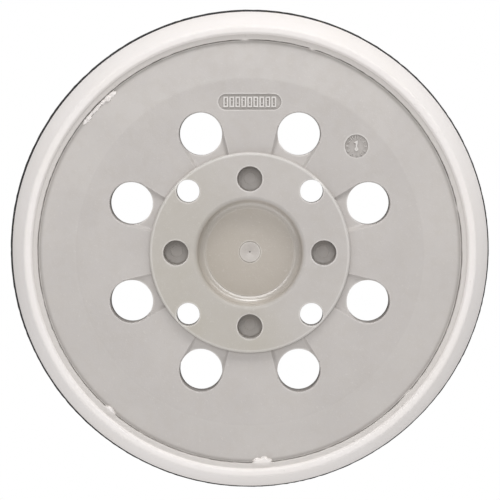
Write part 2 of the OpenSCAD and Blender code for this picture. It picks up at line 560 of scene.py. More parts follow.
# %% [markdown]
# ## Carrier plate: holes
# Every hole is drilled with a tool that carries its own rounded mouth, because a boolean leaves a
# knife edge and a moulding never has one. The recess in the hub has a wide fillet, and a hair-fine
# step where the fillet meets the floor. The pin sockets have a shallow round mark on their floors.

# %% Drill the holes
drill_brim = 1.2


def drill(floor, top, radius, mouth, floor_round=0.0):
    """The outline of a drill whose mouth, at the height top, flares out to a rounded edge."""
    return [
        (0.0, floor),
        (radius, floor, floor_round),
        (radius, top, mouth),
        (radius + mouth + drill_brim, top + 0.03),
        (radius + mouth + drill_brim, top + 1.0),
        (0.0, top + 1.0),
    ]


recess_depth = 4.5
recess_floor = hub_top - recess_depth
recess_r = 13.4
recess_mouth = 1.35
recess_fillet = 1.85
floor_r = 11.4
step_z = recess_floor - 0.07
recess_outline = [
    (0.0, recess_floor),
    (floor_r, recess_floor, 0.04),
    (floor_r + 0.08, step_z),
    *drill(step_z, hub_top, recess_r, recess_mouth, recess_fillet)[1:],
]
pin_mark_r = 1.5
pin_mark_z = pin_floor - 0.12
pin_outline = [
    (0.0, pin_mark_z),
    (pin_mark_r, pin_mark_z),
    (pin_mark_r + 0.12, pin_floor),
    *drill(pin_floor, hub_top, pin_r, 0.2, 0.4)[1:],
]
below = hub_base - 1.0
head_outline = [(0, below), (head_r, below), (head_r, head_seat_z, 0.2), (0, head_seat_z)]
for tool in (
    turned("recess_tool", recess_outline, turn_steps),
    turned("dust_tool", drill(below, plate_top, dust_r, 0.42), 96, dust_places),
    turned("screw_tool", drill(below, hub_top, screw_r, 0.2), 64, screw_places),
    turned("pin_tool", pin_outline, 64, pin_places),
    turned("head_tool", head_outline, 64, screw_places),
):
    combine(carrier, tool)
tell(carrier)

# %% [markdown]
# ## Carrier plate: marks of the mould
# A moulding carries its mould's marks. The gate leaves a small round spot with a pinprick in the
# middle of the recess. A pocket with round ends holds raised frames in place of a marking, and a
# small round dial carries the numbers of the twelve months round an arrow. Both are sunk first,
# and what stands up in them is joined on after.

# %% Sink the gate, the pocket and the dial
mark_r = 38.7
mark_depth = 0.35
mark_floor = plate_top - mark_depth
pocket_length, pocket_width = 16.2, 4.1
pocket_end_round = 2.04
dial_r = 3.0
dial_x = dial_y = mark_r * math.sqrt(0.5)
gate_r, groove_r = 2.6, 2.85
gate_low, gate_high = recess_floor - 0.16, recess_floor + 1.0
gate_outline = [
    (gate_r, gate_low), (groove_r, gate_low), (groove_r, gate_high), (gate_r, gate_high),
]


pocket = block_bmesh(pocket_length, pocket_width, mark_floor, plate_top + 1)
uprights = [e for e in pocket.edges if abs(e.verts[0].co.z - e.verts[1].co.z) > 0.1]
rounded(pocket, uprights, pocket_end_round, 12)
foot = [
    e for e in pocket.edges
    if all(v.co.z < mark_floor + 0.01 for v in e.verts) and e.calc_face_angle(0) > 1
]
rounded(pocket, foot, 0.12, 2)
dial_outline = [
    (0.0, mark_floor),
    (dial_r, mark_floor, 0.1),
    (dial_r, plate_top + 1),
    (0.0, plate_top + 1),
]
for tool in (
    turned("gate_groove", gate_outline, 96),
    turned("gate_pinprick", drill(recess_floor - 0.5, recess_floor, 0.22, 0.12), 24),
    finished("pocket_tool", moved(pocket, 0, mark_r)),
    turned("dial_tool", dial_outline, 64, [(dial_x, dial_y)]),
):
    combine(carrier, tool)
tell(carrier)

# %% [markdown]
# The frames are blocks whose caps are inset and bridged. The numbers are curves of the built-in
# font, given a thickness and made a mesh. The moulding then gets its shading: smooth, but crisp
# where two faces meet at more than a small angle.

# %% Stand the frames, the numbers and the arrow in the marks
def crisp(piece, degrees=28.0):
    """Smooth shading that stays crisp at edges sharper than the angle."""
    bm = bmesh.new()
    bm.from_mesh(piece.data)
    limit = math.radians(degrees)
    for face in bm.faces:
        face.smooth = True
    for edge in bm.edges:
        edge.smooth = edge.is_manifold and edge.calc_face_angle(0.0) < limit
    bm.to_mesh(piece.data)
    bm.free()
    even = piece.modifiers.new("even_normals", "WEIGHTED_NORMAL")
    even.keep_sharp = True
    even.weight = 100
    return piece


relief_low = mark_floor - 0.15
relief_high = plate_top - 0.06
relief_height = relief_high - relief_low
relief_middle = (relief_low + relief_high) / 2
stroke = 0.36
frame_count = 9
frame_pitch = 1.54
frame_length, frame_width = 1.24, 2.7
stud_r, stud_shift = 0.14, 0.35
number_size = 1.0
number_ring_r = 2.3


def frame_bmesh(length, width):
    """A rectangular frame: a block whose two caps are inset and bridged into a hole."""
    bm = block_bmesh(length, width, relief_low, relief_high)
    caps = [face for face in bm.faces if abs(face.normal.z) > 0.5]
    bmesh.ops.inset_individual(bm, faces=caps, thickness=stroke, use_even_offset=True)
    rims = [edge for face in caps for edge in face.edges]
    bmesh.ops.delete(bm, geom=caps, context="FACES_ONLY")
    bmesh.ops.bridge_loops(bm, edges=rims)
    return bm


def number_bmesh(text, size):
    """A number as a solid, made from the built-in font and centred on the axis."""
    curve = bpy.data.curves.new("number", "FONT")
    curve.body = text
    curve.size = size
    curve.align_x = "CENTER"
    curve.align_y = "CENTER"
    curve.extrude = relief_height / 2
    curve.resolution_u = 2
    holder = in_scene("number", curve)
    mesh = baked_mesh(holder)
    bm = bmesh.new()
    bm.from_mesh(mesh)
    bmesh.ops.remove_doubles(bm, verts=bm.verts, dist=1e-4)
    bmesh.ops.translate(bm, vec=(0, 0, relief_middle), verts=bm.verts)
    bpy.data.objects.remove(holder)
    bpy.data.curves.remove(curve)
    bpy.data.meshes.remove(mesh)
    return bm


def add_to(whole, part):
    """Copy one bmesh's shapes into another."""
    mesh = bpy.data.meshes.new("part")
    part.to_mesh(mesh)
    part.free()
    whole.from_mesh(mesh)
    bpy.data.meshes.remove(mesh)


relief = bmesh.new()
for i in range(frame_count):
    spot_x = (i - (frame_count - 1) / 2) * frame_pitch
    add_to(relief, moved(frame_bmesh(frame_length, frame_width), spot_x, mark_r))
    stud = turned_bmesh(bore_outline(stud_r, relief_low, relief_high), 12)
    add_to(relief, moved(stud, spot_x, mark_r + (stud_shift if i % 2 else -stud_shift)))
for month in range(1, 13):
    angle = math.radians(90 - 30 * month)
    spot_x = dial_x + number_ring_r * math.cos(angle)
    spot_y = dial_y + number_ring_r * math.sin(angle)
    number = number_bmesh(str(month), number_size)
    add_to(relief, moved(number, spot_x, spot_y, angle - math.pi / 2))
arrow = block_bmesh(0.42, 1.9, relief_low, relief_high)
add_to(relief, moved(arrow, dial_x, dial_y + 0.1))
head = bmesh.new()
bmesh.ops.create_cone(
    head, cap_ends=True, segments=3, radius1=0.7, radius2=0.62, depth=relief_height,
)
bmesh.ops.translate(head, vec=(0, 0, relief_middle), verts=head.verts)
foot_outline = bore_outline(0.5, relief_low, relief_high)
for part in (
    finished("relief", relief),
    finished("arrow_head", moved(head, dial_x, dial_y + 0.95, math.pi / 2)),
    turned("arrow_foot", foot_outline, 24, [(dial_x, dial_y - 0.75)]),
):
    combine(carrier, part, "UNION")
crisp(carrier)
tell(carrier)
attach(carrier, "root")
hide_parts("carrier_plate")

# %% [markdown]
# ## Foam cushion
# The cushion is polyurethane foam, moulded under and round the plate, so its bed is the plate's
# own outline. Its side leans in to a rounded crest, and inside the crest a low lip lies on the
# rebate of the plate, with a hair's width of gap. It is turned with many steps, because its skin
# is then worked point by point: it waves a little, as foam does when it comes out of its mould,
# and in a few places the foam has crept over the plate's edge.

# %% Turn the foam and cut its holes
foam_steps = 720
foam_foot = 0.8
foam_edge_z = foam_base + foam_foot
side_parts = 8
bed_z = plate_top - slope_down(seen_r) - rebate


def side_point(share):
    """A point on the foam's leaning side, from its foot (0) to its crest (1)."""
    rise, lean = crest_z - foam_edge_z, crest_out_r - foam_r
    return foam_r + lean * share, foam_edge_z + rise * share


foam_outline = [
    (0.0, foam_base),
    (foam_r, foam_base, 0.1),
    (foam_r, foam_edge_z, 0.4),
    *[side_point(i / side_parts) for i in range(1, side_parts)],
    (crest_out_r, crest_z, 0.55),
    (crest_in_r, crest_z, 0.4),
    (lip_out_r, lip_z, 0.25),
    (lip_in_r, lip_z, 0.3),
    (lip_in_r, bed_z),
    (rim_r, plate_top - slope_down(rim_r) - rebate),
    (rim_r, plate_base - slope_down(rim_r)),
    (flat_r, plate_base),
    (hub_r, plate_base),
    (hub_r, hub_base),
    (0.0, hub_base),
]
foam = turned("cushion_foam", foam_outline, foam_steps)
for tool in (
    finished("rib_bed", ring_of(rib_bmesh(), 8, 0.0)),
    turned("sleeve_bed", sleeve_outline, 48, dust_places),
    turned("foam_dust_tool", bore_outline(foam_dust_r, 0, hub_top), 64, dust_places),
    turned("foam_screw_tool", bore_outline(foam_screw_r, 0, hub_top), 64, screw_places),
):
    combine(foam, tool)
tell(foam)

# %% [markdown]
# Where the mould leaked, the foam has crept in over the plate. Each creep is a row of a small
# table: where it is, how long it is along the edge and how far it reaches in. A hump of that size
# moves the lip's inner edge, and noise makes the edge ragged. In one place the leak has torn off
# into loose crumbs, which are squashed spheres, pushed about by noise and stuck to the plate.

# %% Work the foam's skin
creeps = [
    (272.6, 4.0, 1.15),
    (274.2, 3.6, 1.45),
    (228.5, 3.6, 0.75),
    (73.0, 2.2, 0.35),
    (91.4, 2.6, 0.30),
    (12.0, 3.0, 0.15),
    (318.0, 4.0, 0.18),
]
wave_mm = 0.07
grain_mm = 0.03
lip_edge_mm = 0.09
raggedness = 0.45


def creep_at(degrees):
    """How far the foam reaches in over the plate at an angle, in millimetres."""
    reach = 0.0
    for middle, length, depth in creeps:
        off = (degrees - middle + 180.0) % 360.0 - 180.0
        half = math.degrees(length / 2 / lip_in_r)
        if abs(off) < half:
            reach = max(reach, depth * (0.5 + 0.5 * math.cos(math.pi * off / half)) ** 0.6)
    return reach


for vert in foam.data.vertices:
    x, y, z = vert.co / MM
    r = math.hypot(x, y)
    if r < lip_in_r - 0.02 or z < foam_base + 0.05:
        continue
    turn = math.atan2(y, x)
    outward = Vector((x / r, y / r, 0.0))
    spot = Vector((math.cos(turn) * 9.0, math.sin(turn) * 9.0, z * 0.4))
    wave = noise.noise(spot) * wave_mm
    grain = noise.noise(Vector((x, y, z)) * 0.9) * grain_mm
    on_lip = r < lip_out_r and z > bed_z - 0.1
    if on_lip:
        share = 1.0 - (r - lip_in_r) / (lip_out_r - lip_in_r)
        ragged = 1.0 + raggedness * noise.noise(Vector((x, y, z)) * 1.7)
        reach = creep_at(math.degrees(turn)) * ragged * share ** 0.7
        edge = noise.noise(Vector((x, y, 3.0)) * 0.8) * lip_edge_mm * share
        vert.co -= outward * (reach + edge) * MM
        vert.co.z += (grain + min(0.4, 0.45 * reach)) * MM
    elif z > bed_z - 6:
        vert.co += (outward * wave + Vector((0, 0, wave + grain))) * MM


def crumb_bmesh(length, width, height, seed):
    """A crumb of foam: a squashed sphere with a ragged skin, lying along Y."""
    bm = bmesh.new()
    bmesh.ops.create_icosphere(bm, subdivisions=3, radius=1.0)
    for vert in bm.verts:
        ragged = noise.noise(vert.co * 1.8 + Vector((seed * 7.3, 0, 0)))
        fine = noise.noise(vert.co * 4.5 + Vector((0, seed * 5.1, 0)))
        vert.co *= 1.0 + raggedness * ragged + 0.18 * fine
    bmesh.ops.scale(bm, vec=(width / 2, length / 2, height), verts=bm.verts)
    return bm


crumbs = [
    (131.0, 53.87, 2.0, 1.38, 0.46),
    (132.6, 53.77, 1.8, 1.50, 0.53),
    (134.2, 53.97, 2.1, 1.00, 0.40),
    (135.8, 54.07, 2.2, 0.75, 0.31),
    (137.3, 53.94, 2.0, 1.00, 0.37),
    (138.8, 54.07, 2.1, 0.69, 0.29),
    (140.2, 53.90, 1.8, 1.19, 0.40),
    (141.6, 53.97, 1.7, 0.94, 0.33),
    (272.0, 53.95, 2.0, 1.20, 0.50),
    (273.8, 53.80, 2.0, 1.35, 0.55),
    (275.3, 54.20, 1.3, 0.95, 0.45),
    (228.4, 54.25, 1.8, 0.75, 0.40),
]
whole = bmesh.new()
whole.from_mesh(foam.data)
for seed, (degrees, r, length, width, height) in enumerate(crumbs):
    angle = math.radians(degrees)
    crumb = crumb_bmesh(length, width, height, seed)
    crumb = moved(crumb, r * math.cos(angle), r * math.sin(angle), angle)
    bmesh.ops.translate(crumb, vec=(0, 0, plate_top - slope_down(r) + 0.1), verts=crumb.verts)
    bmesh.ops.scale(crumb, vec=(MM, MM, MM), verts=crumb.verts)
    add_to(whole, crumb)
whole.to_mesh(foam.data)
whole.free()
crisp(foam, 40.0)
tell(foam)
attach(foam, "root")
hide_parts("foam_cushion")

# %% [markdown]
# ## Adhesive film
# The film is a fifth of a millimetre thick and shows only as a line at the pad's edge and in its
# holes. It is a turned disc with the pad's holes in it, and its edge wanders a little, as adhesive
# does when it is rolled on.

# %% Make the film
def holed_disc(name, outline, steps, grow):
    """A turned disc with the dust holes and the screw wells through it."""
    disc = turned(name, outline, steps)
    low, high = outline[0][1] - 1.0, outline[-1][1] + 1.0
    for radius, places in ((foam_dust_r + grow, dust_places), (foam_screw_r + grow, screw_places)):
        combine(disc, turned("hole_tool", bore_outline(radius, low, high), 64, places))
    return disc


def wander(piece, beyond_r, depth, fineness):
    """Let a disc's outer edge wander in and out by depth millimetres."""
    for vert in piece.data.vertices:
        r = math.hypot(vert.co.x, vert.co.y)
        if r > beyond_r * MM:
            swing = noise.noise(Vector((vert.co.x, vert.co.y, 0.0)) * fineness)
            vert.co.xy *= 1.0 + swing * depth * MM / r


disc_steps = 360
film_outline = bore_outline(film_r, film_base, film_top)
film = holed_disc("adhesive_layer", film_outline, disc_steps, 0.0)
wander(film, film_r - 0.5, 0.15, 700.0)
crisp(film)
tell(film)
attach(film, "root")
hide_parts("adhesive_film")

# %% [markdown]
# ## Hook cloth
# The hook facing is a black woven cloth with thousands of small nylon hooks standing down from it.
# The cloth is a turned disc 0.65 mm thick. It is pressed on, so it spreads a little past the foam,
# and it sits a tenth of a millimetre off centre, so its dark edge shows more at one side. It is a
# real sheet, cut round with twelve holes.

# %% Make the cloth
cloth_thick = 0.65
cloth_base = cloth_top - cloth_thick
cloth_spread = 0.18
cloth_shift = Vector((-0.10, 0.06))
cloth_outline = [
    (0, cloth_base),
    (cloth_r, cloth_base, 0.15),
    (cloth_r, cloth_top, 0.1),
    (0, cloth_top),
]
cloth = holed_disc("hook_cloth", cloth_outline, disc_steps, cloth_gap)
wander(cloth, cloth_r - 0.5, 0.10, 900.0)
for vert in cloth.data.vertices:
    if vert.co.xy.length > (cloth_r - 1.0) * MM:
        vert.co.xy *= 1.0 + cloth_spread / cloth_r
        vert.co.xy += cloth_shift * MM
crisp(cloth)
tell(cloth)

# %% [markdown]
# One hook is a thin square rod bent into a J, made by extruding a small square along the J and
# narrowing it at the tip. It has only a few dozen faces, because there are thousands of them.

# %% Bend one hook
hook_path = [(0.0, 1.45), (0.0, 0.8), (0.07, 0.32), (0.30, 0.06), (0.56, 0.18), (0.62, 0.42)]
hook_thick = 0.11
hook_taper = 0.55
hook_pitch = 1.5
row_pitch = 1.35
row_shift = 0.75
hook_border = 0.45
hook_root_z = cloth_base + 0.1
lean_about_x, lean_about_y, twist, stray_mm = 0.05, 0.06, 0.16, 0.10


def hook_bmesh(way):
    """One hook, its point bent towards +X or -X."""
    bm = bmesh.new()
    bmesh.ops.create_circle(bm, cap_ends=True, radius=hook_thick, segments=4)
    path = [Vector((x, 0, z)) for x, z in hook_path]
    bmesh.ops.translate(bm, vec=path[0], verts=bm.verts)
    steps = [after - before for before, after in zip(path, path[1:])]
    end = bm.faces[:]
    aim = Vector((0, 0, -1))
    for i, (step, after) in enumerate(zip(steps, steps[1:] + steps[-1:])):
        new = bmesh.ops.extrude_face_region(bm, geom=end)["geom"]
        if i > 0:
            bmesh.ops.delete(bm, geom=end, context="FACES_ONLY")
        ring, end = only(BMVert, new), only(BMFace, new)
        old_aim, aim = aim, (step.normalized() + after.normalized()).normalized()
        swing = old_aim.rotation_difference(aim).to_matrix()
        bmesh.ops.translate(bm, vec=step, verts=ring)
        bmesh.ops.rotate(bm, verts=ring, cent=path[i + 1], matrix=swing)
    at_tip = Matrix.Translation((-path[-1].x, 0, 0))
    bmesh.ops.scale(bm, vec=(hook_taper, hook_taper, 1.0), verts=end[0].verts, space=at_tip)
    if way < 0:
        spun(bm, bm.verts, math.pi)
    return bm


def has_room(x, y):
    """Whether a hook at (x, y) would stand clear of the cloth's edge and of its holes."""
    return math.hypot(x, y) < cloth_r - hook_border and all(
        math.hypot(x - hole_x, y - hole_y) > radius + cloth_gap + hook_border
        for radius, places in ((foam_dust_r, dust_places), (foam_screw_r, screw_places))
        for hole_x, hole_y in places
    )


print("one hook has", len(hook_path), "joints and is", hook_path[0][1], "mm high")

# %% [markdown]
# Two array modifiers repeat the hook over the whole disc, then the hooks that would hang over a hole
# or the edge are deleted, and each one that stays is turned and tilted a little, because woven
# hooks never stand in step. Rows hook left and right in turn, and each way is a piece of its own.

# %% Repeat the hook in rows
def hooked_rows(name, way, seed):
    """Every second row of hooks over the disc, as one piece."""
    hook = finished(name, hook_bmesh(way))
    size = len(hook.data.vertices)
    across = 2 * math.ceil(cloth_r / hook_pitch)
    rows = math.ceil(cloth_r / row_pitch)
    for count, offset in ((across, (hook_pitch, 0, 0)), (rows, (0, 2 * row_pitch, 0))):
        repeat = hook.modifiers.new("repeat", "ARRAY")
        repeat.count = count
        repeat.use_relative_offset = False
        repeat.use_constant_offset = True
        repeat.constant_offset_displace = [c * MM for c in offset]
    bake(hook)
    mesh = hook.data
    points = np.zeros(len(mesh.vertices) * 3)
    mesh.vertices.foreach_get("co", points)
    points = points.reshape(-1, size, 3) / MM
    start = np.array((-cloth_r, -cloth_r + (row_pitch if way < 0 else 0.0), 0.0))
    luck = np.random.default_rng(seed)
    keep = np.ones(len(points), bool)
    for i in range(len(points)):
        row, column = divmod(i, across)
        place = np.array((column * hook_pitch, row * 2 * row_pitch, 0.0))
        chance = luck.normal(0.0, 1.0, 5)
        lean = chance[:3] * (lean_about_x, lean_about_y, twist)
        shape = points[i] - place
        shape[:, 2] -= hook_root_z
        shape = shape @ np.array(Euler(lean).to_matrix()).T
        shape[:, 2] += hook_root_z
        root = start + place
        root[:2] += chance[3:5] * stray_mm + np.array((row_shift if row % 2 else 0.0, 0.0))
        points[i] = shape + root
        keep[i] = has_room(root[0], root[1])
    lowest = points[:, :, 2].min(axis=1, keepdims=True)
    points[:, :, 2] += np.clip(-lowest, 0.0, None)
    mesh.vertices.foreach_set("co", (points * MM).ravel())
    bm = bmesh.new()
    bm.from_mesh(mesh)
    bm.verts.ensure_lookup_table()
    drop = [bm.verts[i * size + k] for i in np.flatnonzero(~keep) for k in range(size)]
    bmesh.ops.delete(bm, geom=drop, context="VERTS")
    for face in bm.faces:
        face.smooth = True
    bm.to_mesh(mesh)
    bm.free()
    print(name, "keeps", int(keep.sum()), "hooks")
    tell(hook)
    return hook


hooks = [hooked_rows("hooks_right", 1, 11), hooked_rows("hooks_left", -1, 12)]
for piece in (cloth, *hooks):
    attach(piece, "root")
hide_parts("hook_facing")

# %% [markdown]
# ## Shared effects
# Some effects are used by more than one finish, so each is a shader node group, built once: a
# radius from the pad's axis, soft blotches, a fine moulded grain, pale open edges, which are partly
# wear and partly painted highlight, and painted shade in corners. Every group reads the object's
# own coordinates, which are metres on the real pad, so a scale of 1000 makes features about a
# millimetre wide.

# %% Build the shared groups
def effect(name, inputs, outputs):
    """A shader node group with named sockets, ready to be written with a recipe."""
    group = bpy.data.node_groups.new(name, "ShaderNodeTree")
    kinds = {"float": "NodeSocketFloat", "vector": "NodeSocketVector", "colour": "NodeSocketColor"}
    for socket, kind, value in inputs:
        made = group.interface.new_socket(socket, in_out="INPUT", socket_type=kinds[kind])
        if value is not None:
            made.default_value = value
    for socket, kind in outputs:
        group.interface.new_socket(socket, in_out="OUTPUT", socket_type=kinds[kind])
    recipe = Recipe(group)
    return group, recipe, recipe.node("NodeGroupInput").outputs, recipe.node("NodeGroupOutput").inputs


radius_group, recipe, given, result = effect(
    "radius_from_axis", [("Place", "vector", None)], [("Radius mm", "float"), ("Height mm", "float")],
)
level_out = {0: given["Place"], 1: (1, 1, 0)}
flat_place = recipe.node("ShaderNodeVectorMath", level_out, operation="MULTIPLY").outputs[0]
length = recipe.node("ShaderNodeVectorMath", {0: flat_place}, operation="LENGTH")
recipe.give(result["Radius mm"], recipe.math("DIVIDE", length.outputs["Value"], MM))
level = recipe.node("ShaderNodeSeparateXYZ", {0: given["Place"]}).outputs["Z"]
recipe.give(result["Height mm"], recipe.math("DIVIDE", level, MM))

blotch_group, recipe, given, result = effect(
    "soft_blotches",
    [
        ("Place", "vector", None), ("Scale", "float", 100.0),
        ("From", "float", 0.4), ("To", "float", 0.6),
    ],
    [("Mask", "float")],
)
cloud = recipe.noise(given["Place"], given["Scale"], Detail=3.0)
recipe.give(result["Mask"], recipe.ramp(cloud, given["From"], given["To"]))

grain_group, recipe, given, result = effect(
    "moulded_grain",
    [("Place", "vector", None), ("Scale", "float", 3000.0)],
    [("Height", "float"), ("Fleck", "float")],
)
fine = recipe.noise(given["Place"], given["Scale"], Detail=2.0)
cells = recipe.node("ShaderNodeTexVoronoi", {"Vector": given["Place"], "Scale": given["Scale"]})
pitted = recipe.math("MULTIPLY_ADD", cells.outputs["Distance"], -0.5, 0.5)
recipe.give(result["Height"], recipe.math("ADD", fine, pitted))
fibre = recipe.noise(given["Place"], recipe.times(given["Scale"], 0.6), Distortion=1.5)
recipe.give(result["Fleck"], recipe.ramp(fibre, 0.60, 0.72))

# Partly wear and partly painted highlight: open edges, found by ambient occlusion inside, turn pale
# in patches.
edge_group, recipe, given, result = effect(
    "worn_and_highlit_edges", [("Place", "vector", None), ("Reach", "float", 0.0005)], [("Mask", "float")],
)
reach = {"Distance": given["Reach"]}
open_edge = recipe.node("ShaderNodeAmbientOcclusion", reach, samples=12, inside=True)
bare = recipe.fade(open_edge.outputs["AO"], 0.60, 0.97)
rubbed = recipe.ramp(recipe.noise(given["Place"], 260.0, Detail=2.0), 0.2, 0.7, 0.4, 1.0)
recipe.give(result["Mask"], recipe.times(bare, rubbed))

# Painted shade: this group darkens wherever ambient occlusion finds the surface shut in.
corner_shade_group, recipe, given, result = effect(
    "painted_corner_shade",
    [("Place", "vector", None), ("Reach", "float", 0.001), ("Patchiness", "float", 0.3)],
    [("Mask", "float")],
)
shut_in = recipe.node("ShaderNodeAmbientOcclusion", {"Distance": given["Reach"]}, samples=12)
hidden = recipe.fade(shut_in.outputs["AO"], 0.35, 0.95)
thin = recipe.times(recipe.noise(given["Place"], 400.0, Detail=2.0), 1.6, given["Patchiness"])
recipe.give(result["Mask"], recipe.times(hidden, recipe.math("SUBTRACT", 1.0, thin)))
print("shared effects:", [group.name for group in bpy.data.node_groups])

# %% [markdown]
# ## Finishes
# Each finish is a Principled shader with its base values set, and a recipe that feeds it what
# changes over the surface. The small functions here place the shared effects and make the bump.

# %% Helpers for the finishes
def placed(recipe, group, **inputs):
    """Place a shared effect in a material; the names of its inputs have _ for a space."""
    node = recipe.node("ShaderNodeGroup", node_tree=group)
    for key, value in inputs.items():
        recipe.give(node.inputs[key.replace("_", " ")], value)
    return node.outputs


def blotches(recipe, place, scale, low, high):
    """Where the soft blotches of one scale are."""
    return placed(recipe, blotch_group, Place=place, Scale=scale, From=low, To=high)["Mask"]


def grime(recipe, place, reach, patchiness):
    """Painted shade in corners: darker where the surface is shut in, up to a reach in metres."""
    return placed(recipe, corner_shade_group, Place=place, Reach=reach, Patchiness=patchiness)["Mask"]


def finish_for(name, roughness, **constants):
    """A new material: its recipe, the object's coordinates, and its Principled shader."""
    material = bpy.data.materials.new(name)
    material.use_nodes = True
    recipe = Recipe(material.node_tree)
    shader = recipe.node("ShaderNodeBsdfPrincipled", {"Roughness": roughness})
    for key, value in constants.items():
        shader.inputs[key.replace("_", " ")].default_value = value
    recipe.node("ShaderNodeOutputMaterial", {"Surface": shader.outputs[0]})
    return material, recipe, recipe.node("ShaderNodeTexCoord").outputs["Object"], shader


def raised(recipe, shader, height):
    """Feed a height in metres to the shader as a bump."""
    bump = recipe.node("ShaderNodeBump", {"Strength": 1.0, "Distance": 1.0, "Height": height})
    recipe.give(shader.inputs["Normal"], bump.outputs[0])


def dress(material, *pieces):
    """Give pieces a material as their only one."""
    for piece in pieces:
        piece.data.materials.clear()
        piece.data.materials.append(material)


print("finishes can use", blotch_group.name, "and", corner_shade_group.name)

# %% [markdown]
# ## Carrier finish
# The carrier is glass-filled nylon in a light warm grey. Fibre makes it faintly blotchy and gives it
# pale flecks, and the mould's sparked skin gives it a fine grain. One side of the hub is stained
# warmer. The deep recess is laid warmer and darker still, its floor more than its wall, and a coat
# on the shader gives its wall a gloss. The gate spot in its middle is pale. The wide fillet carries
# fine rings from the cutter of the mould. The sunken marks are laid darker. Painted shade darkens
# the corners and the plate along the foam's lip. Painted light makes the sloping cone and the
# insides of the holes in the hub lighter, and painted highlights pale the hub's top edge and the
# foot of the recess fillet. The open edges are pale, partly from wear and partly as painted
# highlight.

# %% Make the carrier nylon
nylon_grey = (0.520, 0.488, 0.468, 1.0)
nylon_pale = (0.565, 0.532, 0.508, 1.0)
nylon_hub = (0.480, 0.448, 0.394, 1.0)
nylon_dark_warm = (0.462, 0.412, 0.352, 1.0)
nylon_socket_light = (0.610, 0.580, 0.556, 1.0)
nylon_gate = (0.560, 0.525, 0.505, 1.0)
# This pale colour serves the fibre flecks, and painted light and highlights.
nylon_fibre_and_light = (0.760, 0.730, 0.700, 1.0)
# This pale colour serves worn edges and painted highlights.
nylon_wear_and_highlight = (0.880, 0.855, 0.825, 1.0)
# This brown serves the painted shade in corners and along the lip, and the darker sunken marks.
darkening_brown = (0.150, 0.130, 0.112, 1.0)

carrier_nylon, recipe, place, shader = finish_for(
    "carrier_nylon", 0.5, IOR=1.5, Coat_Roughness=0.24, Coat_IOR=1.9,
)
spot = placed(recipe, radius_group, Place=place)
radius, level = spot["Radius mm"], spot["Height mm"]
wide = blotches(recipe, place, 70.0, 0.35, 0.68)
small = blotches(recipe, place, 420.0, 0.40, 0.70)
patch = blotches(recipe, place, 48.0, 0.38, 0.62)
grain = placed(recipe, grain_group, Place=place, Scale=3200.0)
# Painted shade: tight and loose darken the corners, close by and farther out. Tight also dulls them.
tight = grime(recipe, place, 0.0008, 0.25)
loose = grime(recipe, place, 0.0030, 0.45)
edges = placed(recipe, edge_group, Place=place, Reach=0.0006)["Mask"]
print("shared effects placed on the carrier:", [
    node.node_tree.name for node in carrier_nylon.node_tree.nodes if node.type == "GROUP"
])

# %% [markdown]
# The masks say where on the moulding each colour goes. Each is a step in the radius, a step in the
# height, or some of them multiplied.

# %% Mask the regions of the carrier
on_hub = recipe.fade(radius, hub_r - 0.1, hub_r + 0.1)
# Painted highlight: a pale line along the hub's top edge.
hub_edge_highlight = recipe.times(
    recipe.ramp(radius, hub_face_r - 0.85, hub_face_r - 0.45), on_hub,
    recipe.ramp(level, hub_top - 0.9, hub_top - 0.6),
)
in_recess = recipe.times(
    recipe.fade(radius, recess_r + 0.6, recess_r + 1.2),
    recipe.fade(level, hub_top - 1.0, hub_top - 0.1),
)
on_wall = recipe.times(in_recess, recipe.ramp(radius, floor_r, floor_r + 0.4))
# Painted highlight: a thin pale ring where the recess fillet meets the floor.
floor_rim_highlight = recipe.times(
    recipe.ramp(radius, floor_r - 0.30, floor_r - 0.05),
    recipe.fade(radius, floor_r + 0.10, floor_r + 0.30),
)
on_gate = recipe.fade(radius, gate_r - 0.15, gate_r + 0.05)
past_gate = recipe.times(in_recess, recipe.ramp(radius, groove_r + 0.15, groove_r + 0.45))
# Painted light: the insides of the pin sockets and the other holes in the hub are laid lighter.
pins_from = pin_ring_r - pin_r
pin_socket_light = recipe.times(
    on_hub, recipe.ramp(radius, pins_from - 0.3, pins_from - 0.1),
    recipe.fade(level, hub_top - 0.8, hub_top - 0.3),
)
# Painted light: the sloping cone outside the crease is laid a little lighter than the flat middle.
cone_painted_light = recipe.ramp(radius, flat_r - 0.2, flat_r + 0.2)
# Painted shade: the plate darkens towards the foam's lip, where the lip shades it.
lip_shade = recipe.ramp(radius, seen_r - 1.3, seen_r - 0.2)
# The floors of the sunken pocket and dial are laid darker.
in_marks = recipe.times(
    recipe.ramp(radius, mark_r - 4.2, mark_r - 3.2),
    recipe.fade(radius, mark_r + 4.0, mark_r + 4.5),
    recipe.fade(level, plate_top - 0.28, plate_top - 0.16),
)
print("masks reach from the gate, radius", gate_r, "to the lip, radius", round(seen_r, 2))

# %% [markdown]
# The colours are laid over each other: first the blotches of the bulk and the painted lighter cone,
# then the stain, the darker recess with the painted highlight at its fillet's foot, the gate and the
# painted light in the holes of the hub, then flecks, painted shade and the darker sunken marks, and
# last the painted highlight on the hub's edge and the pale edges, partly wear and partly painted
# highlight. The stain is stronger on one side of the hub, so a dot product with a direction gives
# its share.

# %% Lay the colours of the carrier over each other
stain_way = (0.9, 0.4, 0.0)
across = recipe.node("ShaderNodeVectorMath", {0: place, 1: stain_way}, operation="DOT_PRODUCT")
one_side = recipe.ramp(across.outputs["Value"], -0.012, 0.008, 1.0, 0.12)
warmth = recipe.times(one_side, recipe.math("MULTIPLY_ADD", patch, 0.35, 0.62))
# The recess is laid darker and warmer, its floor more than its wall.
recess_darkening = recipe.math("MULTIPLY_ADD", on_wall, -0.20, 0.75)
